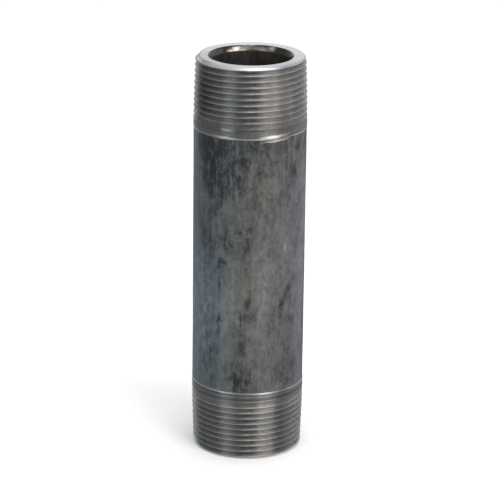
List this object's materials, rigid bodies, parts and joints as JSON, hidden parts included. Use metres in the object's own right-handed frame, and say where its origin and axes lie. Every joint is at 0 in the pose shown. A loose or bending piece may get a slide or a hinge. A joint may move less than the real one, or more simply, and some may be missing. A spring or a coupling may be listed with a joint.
{
  "type": "threaded pipe nipple",
  "caption": "Straight heavy-wall steel pipe nipple with a right-hand tapered male pipe thread, an outside chamfer and a reamed bore at each end.",
  "frame": {"origin": "centre of the lower end face, on the pipe's axis", "axes": "+Z along the pipe's axis from the lower end to the upper end; +X and +Y lie across it, and -Y is the side shown in front"},
  "size_m": [0.0424, 0.0424, 0.1524],
  "materials": {
    "steel": "dark rolled pipe with mill scale on the barrel, oiled bright-cut steel on the threads, clean faced steel on the end faces"
  },
  "bodies": {
    "root": {"nipple_body": "steel"}
  },
  "joints": []
}
